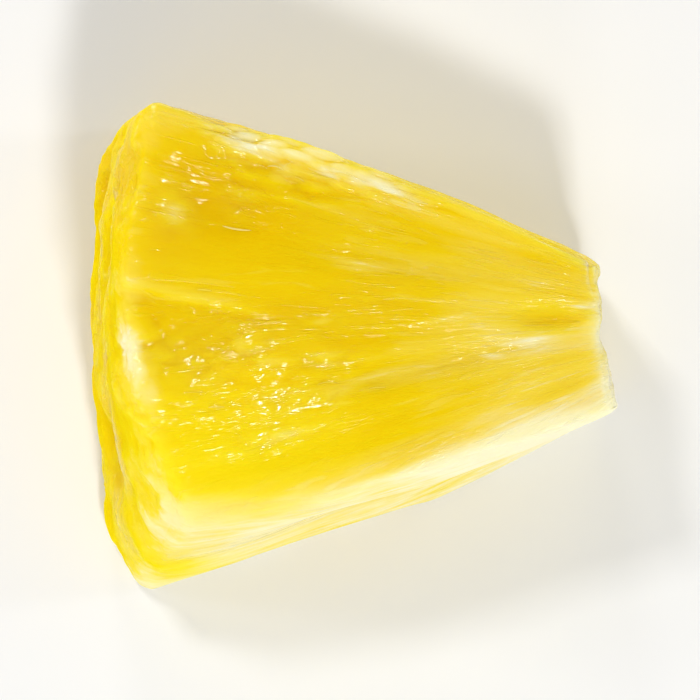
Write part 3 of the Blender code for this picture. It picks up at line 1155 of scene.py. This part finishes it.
def flesh_patterns(recipe):
    """Every pattern by name, from its waves along the fibre coordinates, its detail and its
    distortion. Veins are thin lines where their noise n crosses its middle, 1 - sharpness
    |2 n - 1| and never below 0, and threads are the tops of theirs, cut out by a smooth step."""
    fibre = fibre_coordinates(recipe)
    drawn = {name: recipe.scaled_noise(fibre, *form) for name, form in PATTERNS.items()}
    veins = 1.0 - abs(drawn["veins"] * 2.0 - 1.0) * VEIN_SHARPNESS
    drawn["veins"] = veins.maths("MAXIMUM", veins, 0.0)
    low, high = THREAD_SPAN
    span = {"Value": drawn["threads"], "From Min": low, "From Max": high}
    drawn["threads"] = recipe.node("ShaderNodeMapRange", {"interpolation_type": "SMOOTHSTEP"}, span)
    return drawn


print("patterns:", ", ".join(PATTERNS))

# %% [markdown]
# ## The finish of the flesh
#
# Light enters wet flesh, wanders a few millimetres and comes out yellow, so the finish scatters
# below its surface, far in red and green and less in blue. The colour follows the tone, pushed paler
# along fine veins and deeper between them, and turns brown in the slits of the eyes.
#
# Flesh without juice on it has next to no gloss: one shader with a gloss all over looked like wax, and
# greyed at the edges, where it mirrored the white floor. So there are two. The dry one mirrors
# nothing, the wet one is smooth juice with its own soft ripples, and a number at each point, which
# says how much juice stands there, mixes them.

# %% Name the colours and the gloss
CREAM = (0.89, 0.82, 0.50)
PALE = (0.86, 0.66, 0.06)
GOLD = (0.83, 0.60, 0.004)
DEEP = (0.81, 0.52, 0.001)
LEMON = (0.92, 0.73, 0.006)
EYE_BROWN = (0.50, 0.24, 0.02)
TONE_STOPS = ((0.0, CREAM), (0.30, PALE), (0.52, GOLD), (0.90, DEEP))
SCATTER_WEIGHT = 0.75
SCATTER_REACH = 2.4 * MM
SCATTER_COLOURS = (1.0, 0.95, 0.60)
BUMP_HEIGHT = 0.12 * MM
FILM_ROUGHNESS = 0.12
DRY_IOR = 1.0
JUICE_IOR = 1.40
BUNDLE_SHARE = 0.70
THREAD_SHARE = 0.20
SAC_SHARE = 0.18
STRING_SHARE = 2.0
VEIN_SHARE = 0.12
DRY_BUMPS = {"threads": 0.4, "sacs": 0.8, "grain": 0.35}
DRY_STRINGS = 2.6
FILM_BUMPS = {"threads": 0.6, "sacs": 1.4}
FILM_STRINGS = 2.0


def flesh_colour(recipe, tone):
    """Colour from cream through pale and gold to deep gold, for a tone from -1 to 1."""
    return recipe.node("ShaderNodeValToRGB", {"stops": TONE_STOPS}, {0: tone * 0.5 + 0.5})


def scatter_below(shader, weight):
    """Lets light wander below the surface, far in red and green and less in blue."""
    shader.subsurface_method = "RANDOM_WALK"
    shader.inputs["Subsurface Weight"].default_value = weight
    shader.inputs["Subsurface Radius"].default_value = SCATTER_COLOURS
    shader.inputs["Subsurface Scale"].default_value = SCATTER_REACH


# %% Colour and gloss the flesh


def bumps(drawn, amounts, start):
    """Height of the bumps: a start, plus each named pattern times its amount."""
    for name, amount in amounts.items():
        start = start + drawn[name] * amount
    return start


def tinted_colour(recipe, drawn, number):
    """The tone at each point, moved by broad patterns times the bundled number and by fine ones
    times the stringy number, as a colour; then glow mixes lemon into it, and brown the eyes'."""
    broad = (drawn["bundles"] - 0.5) * BUNDLE_SHARE - drawn["threads"] * THREAD_SHARE
    broad = broad + (drawn["sacs"] - 0.5) * SAC_SHARE
    fine = (drawn["strings"] - 0.5) * STRING_SHARE - drawn["veins"] * VEIN_SHARE
    tone = number["tone"] + broad * number["bundled"] + fine * number["stringy"]
    colour = flesh_colour(recipe, tone)
    for label, tint in (("glow", LEMON), ("brown", EYE_BROWN)):
        mixed = {"Factor": number[label], 6: colour, 7: (*tint, 1.0)}
        colour = recipe.node("ShaderNodeMix", {"data_type": "RGBA"}, mixed, output=2)
    return colour


def flesh_finish(name, scatter_weight):
    """Golden flesh with fibres, mixed from a dry and a wet shader by how much juice stands on it.
    Light wanders below the surface of the chunk, but a strand is too thin for that."""
    material, recipe, dry = new_material(name)
    film = recipe.node("ShaderNodeBsdfPrincipled").socket.node
    drawn = flesh_patterns(recipe)
    number = {
        label: recipe.node("ShaderNodeAttribute", {"attribute_name": label}, output="Fac")
        for label in flesh_looks
    }
    colour = tinted_colour(recipe, drawn, number)
    strings = drawn["strings"] * number["stringy"]
    height = bumps(drawn, DRY_BUMPS, strings * DRY_STRINGS)
    ripples = bumps(drawn, FILM_BUMPS, strings * FILM_STRINGS) + drawn["swells"] * number["rippled"]
    for shader, relief_height in ((dry, height), (film, ripples)):
        bump = recipe.node("ShaderNodeBump", {}, {"Height": relief_height, "Distance": BUMP_HEIGHT})
        recipe.fill(shader.inputs["Base Color"], colour)
        recipe.fill(shader.inputs["Normal"], bump)
        scatter_below(shader, scatter_weight)
    dry.inputs["IOR"].default_value = DRY_IOR
    film.inputs["IOR"].default_value = JUICE_IOR
    film.inputs["Roughness"].default_value = FILM_ROUGHNESS
    both = {0: number["wet"], 1: Signal(dry.outputs[0]), 2: Signal(film.outputs[0])}
    surface = material.node_tree.nodes["Material Output"].inputs["Surface"]
    recipe.fill(surface, recipe.node("ShaderNodeMixShader", {}, both))
    print(name, "has", len(material.node_tree.nodes), "nodes")
    return material


flesh.data.materials.append(flesh_finish("pineapple flesh", SCATTER_WEIGHT))
strands.data.materials.append(flesh_finish("thin pineapple flesh", 0.0))

# %% [markdown]
# ## Floor, light and camera
#
# The floor is a plain pale sheet under an even white sky, which gives the soft light. Wet flesh needs
# something small and bright to mirror as well: broad panels gave broad dull patches, like melted
# plastic. So two small lamps hang above, four small panels stand round the chunk, and a ring of low
# lamps makes the upright sides glint from wherever they are seen. The camera looks straight down
# through a long lens, as in the photograph.

# %% Lay the floor
FLOOR_HALF = 1.5
FLOOR_COLOUR = (0.86, 0.86, 0.86, 1.0)
FLOOR_ROUGHNESS = 0.8


def make_floor():
    """Plain pale floor."""
    corners = np.array(((-1, -1, 0), (1, -1, 0), (1, 1, 0), (-1, 1, 0)), float) * FLOOR_HALF
    mesh = bpy.data.meshes.new("floor")
    mesh.from_pydata(corners, (), ((0, 1, 2, 3),))
    floor = bpy.data.objects.new("floor", mesh)
    bpy.context.scene.collection.objects.link(floor)
    material, _, shader = new_material("pale floor")
    shader.inputs["Base Color"].default_value = FLOOR_COLOUR
    shader.inputs["Roughness"].default_value = FLOOR_ROUGHNESS
    mesh.materials.append(material)


make_floor()
print("floor:", 2 * FLOOR_HALF, "m a side")

# %% Light the chunk
WHITE = (1.0, 1.0, 1.0, 1.0)
SKY_STRENGTH = 0.32
# A panel: its place and its width in metres, and its power in watts.
PANELS = {
    "left panel": ((-0.52, 0.10, 0.17), 0.08, 0.48),
    "right panel": ((0.50, 0.08, 0.20), 0.08, 0.34),
    "front panel": ((0.05, -0.48, 0.26), 0.08, 0.26),
    "back panel": ((-0.08, 0.52, 0.17), 0.08, 0.44),
    "back lamp": ((-0.12, 0.20, 0.42), 0.06, 0.54),
    "front lamp": ((0.07, -0.24, 0.42), 0.06, 0.92),
}
# The ring of low lamps: bearings in degrees, the rest in metres and watts.
RING_BEARINGS = (5, 54, 98, 144, 182, 220, 262, 306)
RING_RADIUS = 0.50
RING_HEIGHT = 0.05
RING_SIZE = 0.055
RING_POWER = 0.17


def make_panel(name, place, size, power):
    """Square area light that faces the chunk."""
    light = bpy.data.lights.new(name, "AREA")
    light.size = size
    light.energy = power
    panel = bpy.data.objects.new(name, light)
    panel.location = place
    panel.rotation_euler = (-Vector(place)).to_track_quat("-Z", "Y").to_euler()
    bpy.context.scene.collection.objects.link(panel)


world = bpy.data.worlds.new("soft white")
world.use_nodes = True
sky = world.node_tree.nodes["Background"]
sky.inputs["Color"].default_value = WHITE
sky.inputs["Strength"].default_value = SKY_STRENGTH
bpy.context.scene.world = world
for name, (place, size, power) in PANELS.items():
    make_panel(name, place, size, power)
for bearing in RING_BEARINGS:
    turn = math.radians(bearing)
    place = (RING_RADIUS * math.cos(turn), RING_RADIUS * math.sin(turn), RING_HEIGHT)
    make_panel(f"small lamp at {bearing} degrees", place, RING_SIZE, RING_POWER)
print(len(PANELS) + len(RING_BEARINGS), "lamps")

# %% Place the camera
CAMERA_HEIGHT = 0.62
FOCAL_MM = 400.0
NEAREST_SEEN = 0.01


def make_camera():
    """Camera straight above the chunk, with +Y up in the picture."""
    data = bpy.data.cameras.new("camera")
    data.lens = FOCAL_MM
    data.clip_start = NEAREST_SEEN
    camera = bpy.data.objects.new("camera", data)
    camera.location = (0.0, 0.0, CAMERA_HEIGHT)
    bpy.context.scene.collection.objects.link(camera)
    bpy.context.scene.camera = camera


make_camera()
bpy.context.scene.view_settings.view_transform = "Standard"
print("camera:", CAMERA_HEIGHT, "m above the floor")
